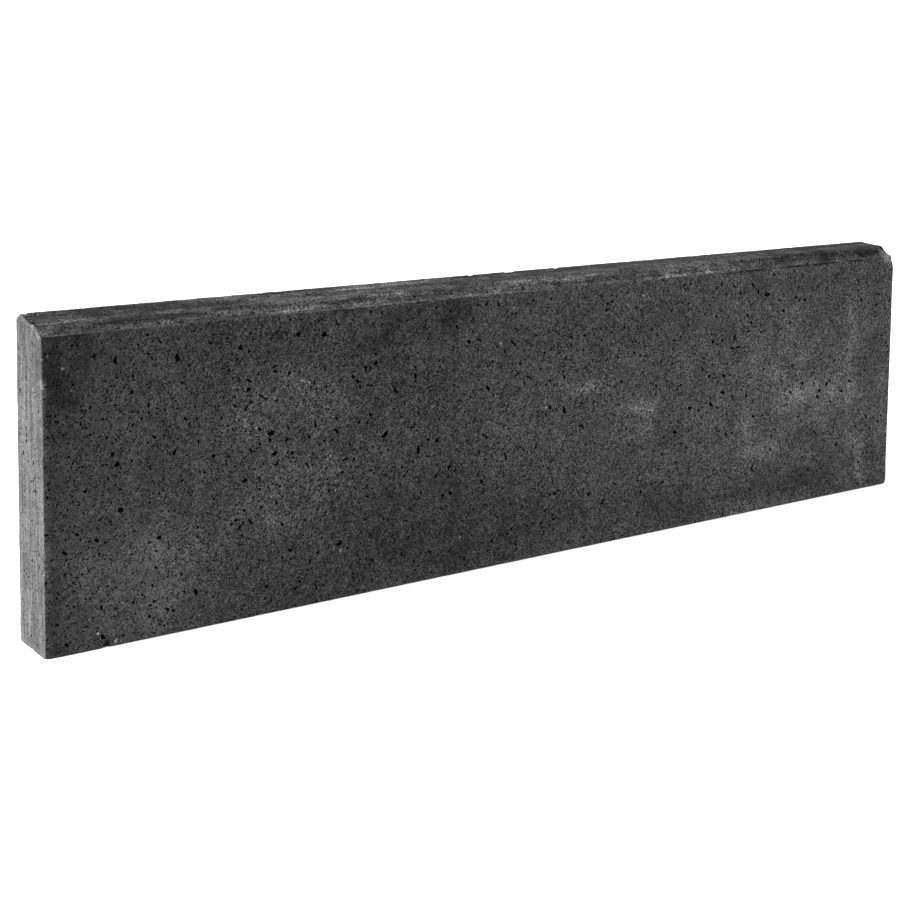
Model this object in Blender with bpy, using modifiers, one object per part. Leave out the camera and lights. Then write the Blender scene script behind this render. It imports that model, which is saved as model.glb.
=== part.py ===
"""A precast concrete edging slab: one solid casting with a bevelled top.

The slab stands on its bed, the way it is laid. Its length runs along X, its
thickness along Y and its height along Z, and the origin is the centre of the
bed. The front, which faces the path, looks towards -Y.
"""
import math

import bpy

# Driving dimensions, in metres.
LENGTH = 0.915
HEIGHT = 0.250
THICKNESS = 0.050

# The bevel along the front of the top is the wide one. The back of the top
# has a small one, as the mould leaves it.
FRONT_BEVEL_WIDTH = 0.012
FRONT_BEVEL_HEIGHT = 0.012
BACK_BEVEL_WIDTH = 0.006
BACK_BEVEL_HEIGHT = 0.005

# Every arris comes out of the mould a little rounded.
ARRIS_RADIUS = 0.0015
ARRIS_SEGMENTS = 3
ARRIS_MIN_ANGLE = math.radians(20)

MERGE_DISTANCE = 0.0001

COLLECTION_NAME = "concrete_edging_slab"
SLAB_NAME = "edging_slab"

CONCRETE_COLOUR = (0.062, 0.062, 0.064, 1.0)
CONCRETE_ROUGHNESS = 0.88


def clear_scene():
    """Remove every object that the scene starts with."""
    for existing in list(bpy.data.objects):
        bpy.data.objects.remove(existing, do_unlink=True)


def new_collection(name):
    """Make a collection and link it to the scene."""
    collection = bpy.data.collections.new(name)
    bpy.context.scene.collection.children.link(collection)
    return collection


def concrete_material():
    """Through-coloured dark grey concrete: rough, and not metallic."""
    material = bpy.data.materials.new("concrete")
    material.use_nodes = True
    shader = material.node_tree.nodes["Principled BSDF"]
    shader.inputs["Base Color"].default_value = CONCRETE_COLOUR
    shader.inputs["Roughness"].default_value = CONCRETE_ROUGHNESS
    shader.inputs["Metallic"].default_value = 0.0
    material.diffuse_color = CONCRETE_COLOUR
    return material


def section_outline():
    """The slab's cross-section, as (thickness, height) points round its edge."""
    front = -THICKNESS / 2
    back = THICKNESS / 2
    return [
        (front, 0.0),
        (back, 0.0),
        (back, HEIGHT - BACK_BEVEL_HEIGHT),
        (back - BACK_BEVEL_WIDTH, HEIGHT),
        (front + FRONT_BEVEL_WIDTH, HEIGHT),
        (front, HEIGHT - FRONT_BEVEL_HEIGHT),
    ]


def section_curve():
    """The cross-section as a flat filled curve, thickened to the slab's length."""
    outline = section_outline()
    curve = bpy.data.curves.new(SLAB_NAME, "CURVE")
    curve.dimensions = "2D"
    curve.fill_mode = "BOTH"
    curve.extrude = LENGTH / 2
    spline = curve.splines.new("POLY")
    spline.points.add(len(outline) - 1)
    for point, (across, up) in zip(spline.points, outline):
        point.co = (across, up, 0.0, 1.0)
    spline.use_cyclic_u = True
    return curve


def make_slab(collection):
    """The casting: the section run along X, welded, with soft arrises."""
    slab = bpy.data.objects.new(SLAB_NAME, section_curve())
    # The section's own X, Y and Z become the slab's Y, Z and X.
    slab.rotation_euler = (math.radians(90), 0.0, math.radians(90))
    slab.data.materials.append(concrete_material())
    collection.objects.link(slab)

    weld = slab.modifiers.new("weld_caps", "WELD")
    weld.merge_threshold = MERGE_DISTANCE

    arris = slab.modifiers.new("soft_arrises", "BEVEL")
    arris.width = ARRIS_RADIUS
    arris.segments = ARRIS_SEGMENTS
    arris.limit_method = "ANGLE"
    arris.angle_limit = ARRIS_MIN_ANGLE
    return slab


def main():
    clear_scene()
    make_slab(new_collection(COLLECTION_NAME))


main()
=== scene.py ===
"""Looks of the concrete edging slab, on a pale floor in soft studio light."""
import math
import random

import bmesh
import bpy
import numpy as np
from mathutils import Euler, Matrix, Vector, noise
from mathutils.geometry import delaunay_2d_cdt


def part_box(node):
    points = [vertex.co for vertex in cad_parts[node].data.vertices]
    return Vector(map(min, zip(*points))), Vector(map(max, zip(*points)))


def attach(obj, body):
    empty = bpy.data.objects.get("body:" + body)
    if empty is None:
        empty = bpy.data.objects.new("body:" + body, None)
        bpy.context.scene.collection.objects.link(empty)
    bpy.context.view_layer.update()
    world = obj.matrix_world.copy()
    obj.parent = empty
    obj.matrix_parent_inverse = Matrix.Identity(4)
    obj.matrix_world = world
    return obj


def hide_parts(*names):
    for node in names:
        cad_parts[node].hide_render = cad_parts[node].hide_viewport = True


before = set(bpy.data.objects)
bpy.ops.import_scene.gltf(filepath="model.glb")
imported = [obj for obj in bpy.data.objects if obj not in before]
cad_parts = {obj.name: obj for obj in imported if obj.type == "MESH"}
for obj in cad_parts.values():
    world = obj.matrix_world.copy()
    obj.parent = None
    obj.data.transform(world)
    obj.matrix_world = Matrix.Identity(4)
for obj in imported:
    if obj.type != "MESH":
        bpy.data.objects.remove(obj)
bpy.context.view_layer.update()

# Lengths are in millimetres unless a name ends in _M. Only the finished points are
# turned into metres.
MM = 0.001
NODE = "edging_slab"
BODY = "root"
PIECE = "cast_slab"

low_corner, high_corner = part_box(NODE)
LENGTH = (high_corner.x - low_corner.x) / MM
THICKNESS = (high_corner.y - low_corner.y) / MM
HEIGHT = (high_corner.z - low_corner.z) / MM

# The section's bevels, as the CAD has them, and how far each arris is rounded off.
FRONT_BEVEL = (12.0, 12.0)
BACK_BEVEL = (6.0, 5.0)
BED_ARRIS = 1.2
FRONT_ARRIS = 1.0
TOP_SWEEP = 13.0
BACK_ARRIS = 2.5
END_ARRIS = 0.8

SEED = 41
TINY = 1e-9


# ---------------------------------------------------------------- the section's outline

class Outline:
    """The rounded cross-section. A place on it is the distance s walked from the middle
    of the bed by way of the back, the top and the front."""

    def __init__(self, corners):
        self.runs = []
        self.arcs = {}
        start = np.array([0.0, 0.0])
        at = start
        walked = 0.0
        points = [np.array([y, z]) for _, y, z, _ in corners]
        for i, (name, _, _, radius) in enumerate(corners):
            corner = points[i]
            before = corner - (points[i - 1] if i else start)
            after = (points[i + 1] if i + 1 < len(points) else start) - corner
            before = before / np.linalg.norm(before)
            after = after / np.linalg.norm(after)
            turn = math.acos(float(np.clip(before @ after, -1, 1)))
            reach = radius * math.tan(turn / 2)
            arc_start = corner - before * reach
            walked = self.add_line(at, arc_start, walked)
            outward = np.array([before[1], -before[0]])
            centre = arc_start - outward * radius
            angle = math.atan2(outward[1], outward[0])
            self.runs.append(("arc", walked, radius * turn, centre, radius, angle))
            self.arcs[name] = (walked, walked + radius * turn)
            walked += radius * turn
            at = corner + after * reach
        self.total = self.add_line(at, start, walked)

    def add_line(self, a, b, walked):
        length = float(np.linalg.norm(b - a))
        self.runs.append(("line", walked, length, a, (b - a) / length, None))
        return walked + length

    def at(self, s):
        """Points (y, z) and outward normals for an array of places on the outline."""
        s = np.asarray(s, float)
        points = np.zeros((len(s), 2))
        normals = np.zeros((len(s), 2))
        for kind, begin, length, first, second, angle in self.runs:
            inside = (s >= begin - TINY) & (s <= begin + length + TINY)
            along = (s[inside] - begin)[:, None]
            if kind == "line":
                points[inside] = first + along * second
                normals[inside] = (second[1], -second[0])
            else:
                turned = angle + along[:, 0] / second
                spokes = np.stack([np.cos(turned), np.sin(turned)], 1)
                points[inside] = first + spokes * second
                normals[inside] = spokes
        return points, normals

    def middle(self, name):
        begin, end = self.arcs[name]
        return (begin + end) / 2


front = -THICKNESS / 2
back = THICKNESS / 2
outline = Outline([
    ("bed_back", back, 0.0, BED_ARRIS),
    ("back_bevel_low", back, HEIGHT - BACK_BEVEL[1], BACK_ARRIS),
    ("back_bevel_high", back - BACK_BEVEL[0], HEIGHT, BACK_ARRIS),
    ("top_front", front + FRONT_BEVEL[0], HEIGHT, TOP_SWEEP),
    ("front_arris", front, HEIGHT - FRONT_BEVEL[1], FRONT_ARRIS),
    ("bed_front", front, 0.0, BED_ARRIS),
])

# The skin is unrolled to a rectangle: u runs along the length and on round both end
# arrises, and s round the section. The two end faces are laid out apart.
STRAIGHT = LENGTH / 2 - END_ARRIS
REACH = STRAIGHT + END_ARRIS * math.pi / 2
FRONT_S = (outline.arcs["front_arris"][1], outline.arcs["bed_front"][0])
TOP_S = (outline.arcs["back_bevel_high"][1], outline.arcs["front_arris"][0])
BACK_S = (outline.arcs["bed_back"][1], outline.arcs["back_bevel_low"][0])


def front_place(x, z):
    """(u, s) of a point on the front face: x from the left end, z above the bed."""
    return x - LENGTH / 2, FRONT_S[1] + (BED_ARRIS - z)


# ---------------------------------------------------------------- pores and chips

# Landmark pores on the front face: x from the left end, z above the bed, length and
# width of the dark floor, lean in degrees, and bend if it has one. The rim is larger.
RIM_OVER_FLOOR = 1.28
LANDMARK_PORES = [
    (57,216,6,2.2,100,.3), (107,213,6.2,2.8,95,.2), (160,215.5,3.8,2.6,120), (69.5,191,2.8,2.2,0),
    (167,182,3.8,2.8,10), (167.5,189,6,1.6,150,.4), (165,167.5,4,1.5,50), (54,146,4.2,1.8,75),
    (57.5,138,4.2,3,40), (104,141,4.8,2,65), (136.5,133.6,2.8,2.4,0), (169,134,3.4,1.8,115),
    (60,103,3.6,3.4,0), (41,83,3.4,2.4,150), (91,77,3.2,2.4,160), (16,77.5,3.2,1.8,120),
    (156,80,2.6,2.2,0), (160,74.5,6,1.4,55,.4), (168.5,77,5,1.4,125), (87,155,3.2,1.8,140),
    (92.5,227,4,1.2,120), (179,175,8,1.2,140), (203,191,3.6,2,60), (226,181,3.6,1.6,80),
    (251,181,6,1.3,40), (274,187,5.5,1.7,95), (278.5,187,4.4,1.4,80), (284,191,3.6,2.4,75),
    (303,167,8,1.4,130,.3), (227,147,5.4,1.6,105), (247,149,4,1.3,125), (221,138,3.6,1.6,110),
    (247,139,3.4,2.2,140), (268,144,2.8,2.2,30), (201,138,4.6,1.8,55), (206,127,2.8,2.2,150),
    (293,130.5,6.4,3,32), (192,120,4,2.2,65), (220,114.5,5.4,1.4,122), (255,115,4.4,1.8,15),
    (326,113,7.2,2.3,88), (235,219,4.6,3,20,.1), (187,145,5,3.6,170), (186,139.8,3.3,2.1,95),
    (177,149.5,3.4,1.8,140), (345,119,3.6,3.2,150), (364.5,213.7,3.6,2.2,120),
    (387.5,200.5,4.4,1.3,150), (407.5,229.5,3.4,1.6,100), (424,194.5,6.8,1.7,143),
    (432,175.7,3.2,2.4,120), (442.5,162.5,6,1.5,155,.3), (437,158,4.8,1.4,110), (398,157.5,4.4,2.2,135),
    (466,133,3.4,2.8,80), (482,128.5,5.8,2.8,118), (384,131.5,5.5,1.3,48), (396,116,6,1.6,138),
    (389,103,4,1.4,120), (358,94,4,2.2,40,.4), (417.5,96,6.4,1.5,115,-.2), (451,100,4.8,2,80),
    (503,111.5,4.4,2.2,140), (345,89,4.2,1.8,55), (392,76.5,5.4,1.8,110), (393.5,67,5,1.4,22),
    (359.5,72,3.6,2.2,130,.3), (495.5,69.6,3,1.8,0), (468,84,4,1.3,30), (548.5,147,2.8,2.2,0),
    (621,136,2.8,2.2,0), (634,112.5,4.2,3.2,20), (661,113,5,3,145), (677,139,4,2.8,165),
    (658,140.5,3.2,2.8,50), (661.5,173,3.6,2.2,170), (673.5,173.5,3.2,2.4,0), (690,174.5,4.6,2.6,80),
    (687.5,164.5,5,1.4,150,.4), (695,165,5,1.6,5,-.4), (671,227.5,3.2,2.4,30), (665.5,224.5,4.4,1.4,32),
    (687.5,224.5,4.4,1.8,130), (677.5,217,3,1.8,170), (665,197,4,1.8,115), (620,182,3.6,1.5,60),
    (707.5,116.5,4.4,2.4,110), (682,81.6,3.4,2,125), (707,194,4,2.4,110), (712.5,223.5,5.4,1.8,138),
    (732.5,212.5,6.4,3,172,-.3), (741,231.5,4.4,1.2,170), (772.5,206.5,5,1.6,170),
    (777.5,204.5,3.4,1.6,40), (784.5,203.5,4.6,1.9,150), (755,195,3.4,2,145), (712,187,3.4,2.2,110),
    (862,206.5,3,2.4,120), (867.5,197,4.8,2,125), (820,115.5,3.4,2.8,140), (853.7,115,4,2.4,130),
    (810,110,4,2.4,75), (808,103.6,5,2,115), (842,106,5.4,1.9,172), (769,112.5,5.2,2,135),
    (826,125.5,4,1.4,140), (781,87,2.8,2,0), (717.5,95,4.4,1.6,140), (881,75,4.4,2,115),
    (865,67,2.8,2.2,130), (806,67,2.8,2,140), (719,44,8,1.6,65,.6), (529,39,6.4,2,60,.1),
    (250,46,4.6,3,10), (512,48,4,2.6,70), (45,9,4.6,2.2,120),
]

# Random pores: how many, the smallest diameter, and how much larger the mean one is.
FRONT_PORES = (1900, 1.45, 0.45)
BACK_PORES = (520, 1.8, 0.65)
TOP_PORES = (130, 1.5, 0.45)
BED_PORES = (70, 1.8, 0.65)
END_PORES = (65, 1.5, 0.45)
END_MARGIN, END_TOP_MARGIN = 1.0, 14.0
MAX_PORE = 5.6
# Length over width: least, most and usual. Depth over half width, and its range.
PORE_STRETCH = (1.0, 2.3, 1.15)
PORE_BEND = 0.18
PORE_DEPTH = 0.95
PORE_DEPTH_RANGE = (0.75, 1.1)
LANDMARK_DEPTH = 1.15
# Room between two pores, and from a pore to the edge of its stretch.
PORE_GAP = 0.5
EDGE_GAP = 0.4
# Some pores open into a short chain of beads, and a few are thin worms.
CHAIN_SHARE = 0.15
CHAIN_WIDTH = (0.6, 0.95)
CHAIN_LONGEST = 2
CHAIN_TAPER = (0.85, 1.05)
CHAIN_GAP = 0.06
CHAIN_SMALLEST = 1.05
CURL, CURL_CHANGE = 0.38, 0.15
FRONT_WORMS = 50
WORM_WIDTH = (1.1, 1.45)
WORM_BEADS = (1, 1, 2)
WORM_MARGIN = 3.0
BEAD_HALF_LENGTH = 0.8

# Rings of a dent, as Dent explains. Their last share paints shade into the floor.
PORE_RINGS = [(1.0, 0.0, 0.0), (0.74, 0.48, 0.85), (0.38, 0.9, 1.0), (0.0, 1.0, 1.0)]
SMALL_PORE = 2.0
SMALL_PORE_RINGS = [(1.0, 0.0, 0.0), (0.6, 0.72, 1.0), (0.0, 1.0, 1.0)]
# The larger pores on the front have a raised lip round them.
LIPPED_PORE = 2.7
LIP = 1.3
LIPPED_RINGS = [
    (1.0, 0.0, 0.0), (0.77, -0.13, 0.0), (0.57, 0.48, 0.85), (0.29, 0.9, 1.0), (0.0, 1.0, 1.0)]

# A rim's points: how far apart, how few or many, and how much they are shaken.
RIM_STEP = 0.85
RIM_POINTS = (7, 18)
RIM_SHAKE = 0.2
# Waves round a rim: how many, and how strong. All are weaker on a narrow pore.
RIM_WAVES = [(2, 0.6), (3, 1.0), (5, 0.5)]
WIDE_PORE_WAVE, NARROW_PORE_WAVE = 0.16, 0.1
NARROW_PORE = 0.9

# Small chips along the arrises, with the mean distance between two.
CHIP_SPACING = {
    "bed_front": 34.0, "bed_back": 40.0, "front_arris": 44.0,
    "back_bevel_low": 38.0, "back_bevel_high": 26.0,
}
CHIP_HALF_LENGTH = (1.2, 3.6)
CHIP_HALF_WIDTH = (0.8, 1.6)
CHIP_DEPTH = (0.2, 0.7)
CHIP_BEND = 0.1
CHIP_SLIDE = 0.5
CHIP_END_GAP = 1.0
CHIP_PALENESS = 0.3
# In a chip's rings the last share paints shade into its floor, most in a hollow chip.
CHIP_RINGS = [(1.0, 0.0, 0.0), (0.6, 0.75, 0.28), (0.0, 1.0, 0.35)]
HOLLOW_RINGS = [(1.0, 0.0, 0.05), (0.66, 0.7, 0.3), (0.33, 0.95, 0.4), (0.0, 1.0, 0.4)]

# Larger chips: arris, x from the left end, half length, half width, depth, freshness.
# A freshness below 0 makes a hollow chip, darkened as painted shade.
LANDMARK_CHIPS = [
    ("bed_front", 48.5, 3.6, 6.8, 1.3, -0.7),
    ("front_arris", 326.0, 3.6, 2.0, 0.9, -0.5),
    ("back_bevel_high", 4.0, 3.0, 2.4, 1.4, 0.0),
    ("back_bevel_high", 410.0, 5.0, 2.0, 1.2, 0.0),
    ("back_bevel_high", 452.0, 6.5, 2.2, 1.3, 0.0),
    ("back_bevel_high", 505.0, 4.0, 2.0, 1.2, 0.0),
]

# Knocked corners: place, reach and depth of the wear.
WORN_CORNERS = [
    (-LENGTH / 2, front, 0.0, 4.0, 0.8),
    (-LENGTH / 2, back - 4.0, HEIGHT, 4.5, 0.9),
    (-LENGTH / 2, 1.0, 0.0, 4.0, 0.9),
    (-LENGTH / 2, front + 23.0, HEIGHT - 4.0, 5.0, 1.8),
    (LENGTH / 2, back, 0.0, 8.0, 1.7),
    (LENGTH / 2, front, 0.0, 4.0, 0.9),
    (LENGTH / 2, front + 5.0, HEIGHT - 8.0, 18.0, 3.2),
]
# Fresh, pale breaks: place, reach, and how pale.
FRESH_PATCHES = [
    (LENGTH / 2 - 6.0, front + 2.0, HEIGHT - 11.0, 13.0, 0.44),
    (LENGTH / 2, back, 0.0, 9.0, 0.14),
    (-LENGTH / 2, front, 0.0, 5.0, 0.1),
    (-LENGTH / 2, front, 203.0, 5.0, 0.25),
    (-LENGTH / 2, front, 168.0, 8.0, 0.14),
]

# Pale bits on the front face: sand, and painted highlights on the rims of pores. x from
# the left end, z above the bed, diameter.
PALE_BITS = [
    (215,184,2.4), (221,182,1.9), (411,195,2.0), (538,185,2.0), (406,150,1.9), (251,40,2.8),
    (370,32,2.3), (40.8,12.4,3.0), (573,224,2.4), (342,149,2.0), (16,214,3.0), (424,225,2.3),
    (461.4,133.5,2.6), (55.4,3.9,3.6), (59.4,2.9,2.0), (182.4,144.6,1.7), (243.5,151.5,1.7),
    (246,91,2.0), (295,93,1.6), (61,32,2.4), (241,120,1.6), (124,10,1.8), (76,27,1.6), (173.6,151,1.7),
    (340,148,1.8),
]
BIT_RINGS = [(1.0, 0.0, 0.0), (0.66, 1.0, 0.0), (0.0, 1.0, 0.0)]
BIT_HALF_LENGTH, BIT_HALF_WIDTH = 0.55, 0.45
BIT_DEPTH = 0.12
BIT_PALENESS = 0.75


def pore_shape(rng, half_length, half_width, lean, bend):
    """A rim as offsets from its middle: an uneven, leaning and bent oval."""
    fewest, most = RIM_POINTS
    count = round(math.tau * math.sqrt(half_length * half_width) / RIM_STEP)
    count = max(fewest, min(most, count))
    phases = [rng.uniform(0, math.tau) for _ in RIM_WAVES]
    wave = WIDE_PORE_WAVE if half_width > NARROW_PORE else NARROW_PORE_WAVE
    cos_lean, sin_lean = math.cos(lean), math.sin(lean)
    rim = []
    for i in range(count):
        turn = math.tau * (i + rng.uniform(-RIM_SHAKE, RIM_SHAKE)) / count
        size = 1.0
        for phase, (waves, share) in zip(phases, RIM_WAVES):
            size += wave * share * math.cos(waves * turn + phase)
        along = half_length * size * math.cos(turn)
        across = half_width * size * math.sin(turn)
        across += bend * half_width * (2 * (along / half_length) ** 2 - 1)
        rim.append((along * cos_lean - across * sin_lean, along * sin_lean + across * cos_lean))
    return rim


def pore(rng, middle, half_length, half_width, lean, bend, depth):
    """A pore, lipped if it is a large one on the front face and simpler if small."""
    size = 2 * math.sqrt(half_length * half_width)
    on_front = FRONT_S[0] < middle[1] < FRONT_S[1]
    lip = LIP if on_front and size > LIPPED_PORE else 1.0
    rings = PORE_RINGS if size > SMALL_PORE else SMALL_PORE_RINGS
    rim = pore_shape(rng, half_length * lip, half_width * lip, lean, bend)
    return Dent(middle, rim, depth, LIPPED_RINGS if lip > 1 else rings)


class Dent:
    """A pore, a chip or a pale bit: its middle on the unrolled skin, its rim, its depth,
    and its rings as shares of the rim's size, of the depth, and of full painted shade."""

    def __init__(self, middle, rim, depth, rings, fresh=0.0, inward=None):
        self.middle = middle
        self.rim = rim
        self.depth = depth
        self.rings = rings
        self.fresh = fresh
        self.inward = inward
        self.radius = max(math.hypot(*p) for p in rim)


class DentField:
    """Dents that keep clear of each other and of the edges of their stretch."""

    def __init__(self):
        self.dents = []
        self.places = np.zeros((0, 3))
        self.stretch = (-math.inf, math.inf, -math.inf, math.inf)

    def add(self, dent, gap=PORE_GAP):
        """Keep the dent if it is inside the stretch and clear of the others."""
        u, s = dent.middle
        low_u, high_u, low_s, high_s = self.stretch
        room = min(u - low_u, high_u - u, s - low_s, high_s - s) - dent.radius
        gaps = np.hypot(self.places[:, 0] - u, self.places[:, 1] - s)
        if room < EDGE_GAP or np.any(gaps < self.places[:, 2] + dent.radius + gap):
            return False
        self.keep(dent)
        return True

    def keep(self, dent):
        self.dents.append(dent)
        self.places = np.vstack([self.places, (*dent.middle, dent.radius)])

    def scatter_pores(self, rng, kind, u_range, s_range):
        count, smallest, spread = kind
        self.stretch = (*u_range, *s_range)
        for _ in range(count):
            diameter = min(MAX_PORE, smallest + rng.expovariate(1 / spread))
            stretch = math.sqrt(rng.triangular(*PORE_STRETCH))
            half_length = diameter / 2 * stretch
            half_width = diameter / 2 / stretch
            depth = PORE_DEPTH * diameter / 2 * rng.uniform(*PORE_DEPTH_RANGE)
            middle = self.random_place(rng, half_length * LIP + PORE_GAP)
            lean = rng.uniform(0, math.tau)
            bend = rng.gauss(0, PORE_BEND)
            first = pore(rng, middle, half_length, half_width, lean, bend, depth)
            if self.add(first) and rng.random() < CHAIN_SHARE:
                width = diameter * rng.uniform(*CHAIN_WIDTH)
                self.add_chain(rng, first, width, lean, CHAIN_LONGEST)

    def random_place(self, rng, margin):
        low_u, high_u, low_s, high_s = self.stretch
        return (rng.uniform(low_u + margin, high_u - margin),
                rng.uniform(low_s + margin, high_s - margin))

    def scatter_worms(self, rng, count):
        """Thin pores, each a curved string of beads."""
        for _ in range(count):
            width = rng.uniform(*WORM_WIDTH)
            heading = rng.uniform(0, math.tau)
            first = worm_bead(rng, self.random_place(rng, WORM_MARGIN), width, heading)
            if self.add(first):
                self.add_chain(rng, first, width, heading, rng.choice(WORM_BEADS))

    def add_chain(self, rng, last, width, heading, longest):
        """More pores, each beside the last, that open into a short worm."""
        curl = rng.gauss(0, CURL)
        for _ in range(rng.randint(1, longest)):
            if width < CHAIN_SMALLEST:
                return
            dent = worm_bead(rng, (0.0, 0.0), width, heading + curl)
            reach = last.radius + dent.radius + CHAIN_GAP
            dent.middle = (
                last.middle[0] + reach * math.cos(heading + curl / 2),
                last.middle[1] + reach * math.sin(heading + curl / 2))
            if not self.add(dent, gap=CHAIN_GAP * 0.9):  # a little under its own gap
                return
            last = dent
            heading += curl
            curl += rng.gauss(0, CURL_CHANGE)
            width *= rng.uniform(*CHAIN_TAPER)


def worm_bead(rng, middle, width, heading):
    rim = pore_shape(rng, width * BEAD_HALF_LENGTH, width / 2, heading, 0.0)
    return Dent(middle, rim, PORE_DEPTH * width / 2, SMALL_PORE_RINGS)


def chip(rng, arris, u, half_length, half_width, depth, fresh):
    """A chip across an arris, sunk along the line that halves the corner."""
    middle_s = outline.middle(arris) + rng.uniform(-CHIP_SLIDE, CHIP_SLIDE)
    normal = outline.at([outline.middle(arris)])[1][0]
    rim = pore_shape(rng, half_length, half_width, 0.0, rng.gauss(0, CHIP_BEND))
    inward = np.array([0.0, -normal[0], -normal[1]])
    rings = HOLLOW_RINGS if fresh < 0 else CHIP_RINGS
    return Dent((u, middle_s), rim, depth, rings, fresh, inward)


def skin_dents():
    """Every pore and chip on the unrolled skin."""
    rng = random.Random(SEED)
    field = DentField()
    for arris, x, *shape in LANDMARK_CHIPS:
        field.keep(chip(rng, arris, x - LENGTH / 2, *shape))
    for x, z, length, width, lean, *bend in LANDMARK_PORES:
        half_length, half_width = RIM_OVER_FLOOR * length / 2, RIM_OVER_FLOOR * width / 2
        depth = PORE_DEPTH * half_width * LANDMARK_DEPTH
        lean = -math.radians(lean)
        field.keep(pore(rng, front_place(x, z), half_length, half_width, lean, sum(bend), depth))
    # Pale bits: sand, and painted highlights on the rims of pores.
    for x, z, diameter in PALE_BITS:
        half_length, half_width = diameter * BIT_HALF_LENGTH, diameter * BIT_HALF_WIDTH
        rim = pore_shape(rng, half_length, half_width, rng.uniform(0, math.pi), 0.0)
        field.keep(Dent(front_place(x, z), rim, BIT_DEPTH, BIT_RINGS, fresh=BIT_PALENESS))
    longest, widest = CHIP_HALF_LENGTH[1], CHIP_HALF_WIDTH[1]
    limit = STRAIGHT - longest - CHIP_END_GAP
    for arris, spacing in CHIP_SPACING.items():
        u = rng.expovariate(1 / spacing) + longest - limit
        while u <= limit:
            half_length = rng.uniform(*CHIP_HALF_LENGTH)
            half_width = rng.uniform(*CHIP_HALF_WIDTH)
            depth = rng.uniform(*CHIP_DEPTH) * half_width / widest
            paleness = rng.random() * CHIP_PALENESS
            field.add(chip(rng, arris, u, half_length, half_width, depth, paleness))
            u += rng.expovariate(1 / spacing) + longest
    whole = (-STRAIGHT, STRAIGHT)
    field.scatter_pores(rng, FRONT_PORES, whole, FRONT_S)
    field.scatter_worms(rng, FRONT_WORMS)
    field.scatter_pores(rng, BACK_PORES, whole, BACK_S)
    field.scatter_pores(rng, TOP_PORES, whole, TOP_S)
    field.scatter_pores(rng, BED_PORES, whole, (0.0, outline.arcs["bed_back"][0]))
    field.scatter_pores(rng, BED_PORES, whole, (outline.arcs["bed_front"][1], outline.total))
    return field.dents


def end_dents(seed):
    """The pores on one end face, laid out in y and z."""
    rng = random.Random(seed)
    field = DentField()
    inset = END_ARRIS + END_MARGIN
    field.scatter_pores(
        rng, END_PORES, (front + inset, back - inset), (inset, HEIGHT - END_TOP_MARGIN))
    return field.dents


# ---------------------------------------------------------------- the skin's triangles

# Spacing of the grid's points on each stretch, along and across.
FRONT_STEP = (6.5, 6.5)
TOP_STEP = (5.0, 2.1)
BACK_STEP = (9.0, 9.0)
END_STEP = 5.0
GRID_SHAKE = 0.3
ROW_SHAKE = 0.25
END_SHAKE = 1.0
# The arrises have closer rows, and one more row this far beyond each rounding.
ARRIS_STEP = 2.6
ARRIS_BAND = 1.4
ARC_STEPS, SWEEP_STEPS = 3, 6
WIDEST_ARRIS_STEP = ARRIS_STEP * 1.5
# A grid's room to its stretch's edges: at least this, and this share of a step across.
GRID_MARGIN, GRID_MARGIN_SHARE = ARRIS_BAND * 1.6, 0.6
END_GRID_MARGIN = 3.2
SEAM_STEP = 12.0
GRID_GAP = 0.35  # from the grid to a dent's rim
# On a rim with few points, the rings within this share of it keep every second one.
FEW_RIM_POINTS = 10
INNER_RING = 0.65
CDT_EPSILON = 1e-5


class PointSet:
    """Points to be triangulated, each a place, a depth, a cavity, a freshness, and the
    way in if that isn't along the normal."""

    def __init__(self):
        self.points = []
        self.edges = []

    def add(self, place, depth=0.0, cavity=0.0, fresh=0.0, inward=None):
        self.points.append((place, depth, cavity, fresh, inward))
        return len(self.points) - 1

    def columns(self, first=0):
        """The places, depths, cavities and freshness as arrays, and the ways in."""
        *columns, inwards = zip(*self.points[first:])
        return *map(np.array, columns), inwards

    def add_clear(self, places, dents):
        """The places that are clear of every dent, and the dents themselves."""
        for place, kept in zip(places, clear_of_dents(places, dents)):
            if kept:
                self.add(place)
        for dent in dents:
            self.add_dent(dent)

    def add_dent(self, dent):
        """A dent's rings of points and its middle. The rim's edges are kept as they are."""
        for fraction, sunk, dark in dent.rings:
            step = 1 if fraction > INNER_RING or len(dent.rim) > FEW_RIM_POINTS else 2
            spokes = dent.rim[::step] if fraction else [(0.0, 0.0)]
            # The darkness paints shade into the dent's floor, less where it is pale.
            dark *= 1 - max(dent.fresh, 0.0)
            ring = [
                self.add(
                    (dent.middle[0] + x * fraction, dent.middle[1] + y * fraction),
                    dent.depth * sunk, dark, dent.fresh * sunk, dent.inward)
                for x, y in spokes]
            if fraction == 1.0:
                self.edges += list(zip(ring, ring[1:] + ring[:1]))


def clear_of_dents(places, dents):
    """Which of the places lie outside every dent's rim."""
    places = np.array(places)
    keep = np.ones(len(places), bool)
    order = np.argsort(places[:, 0])
    sorted_u = places[order, 0]
    for dent in dents:
        reach = dent.radius + PORE_GAP
        first, last = np.searchsorted(sorted_u, (dent.middle[0] - reach, dent.middle[0] + reach))
        near = order[first:last]
        rim = np.array(dent.rim)
        offset = places[near] - dent.middle
        turn = np.arctan2(offset[:, 1], offset[:, 0])
        rim_turn = np.arctan2(rim[:, 1], rim[:, 0])
        sort = np.argsort(rim_turn)
        limit = np.interp(
            turn, rim_turn[sort], np.hypot(rim[sort, 0], rim[sort, 1]), period=math.tau)
        keep[near[np.hypot(offset[:, 0], offset[:, 1]) < limit + GRID_GAP]] = False
    return keep


def row(step, low, high, rng=None):
    """Evenly spaced numbers from low to high, shaken if rng is given, ends untouched."""
    count = max(1, round((high - low) / step))
    values = [low + (high - low) * i / count for i in range(count + 1)]
    if rng:
        shake = (high - low) / count * ROW_SHAKE
        values[1:-1] = [v + rng.uniform(-shake, shake) for v in values[1:-1]]
    return values


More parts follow.
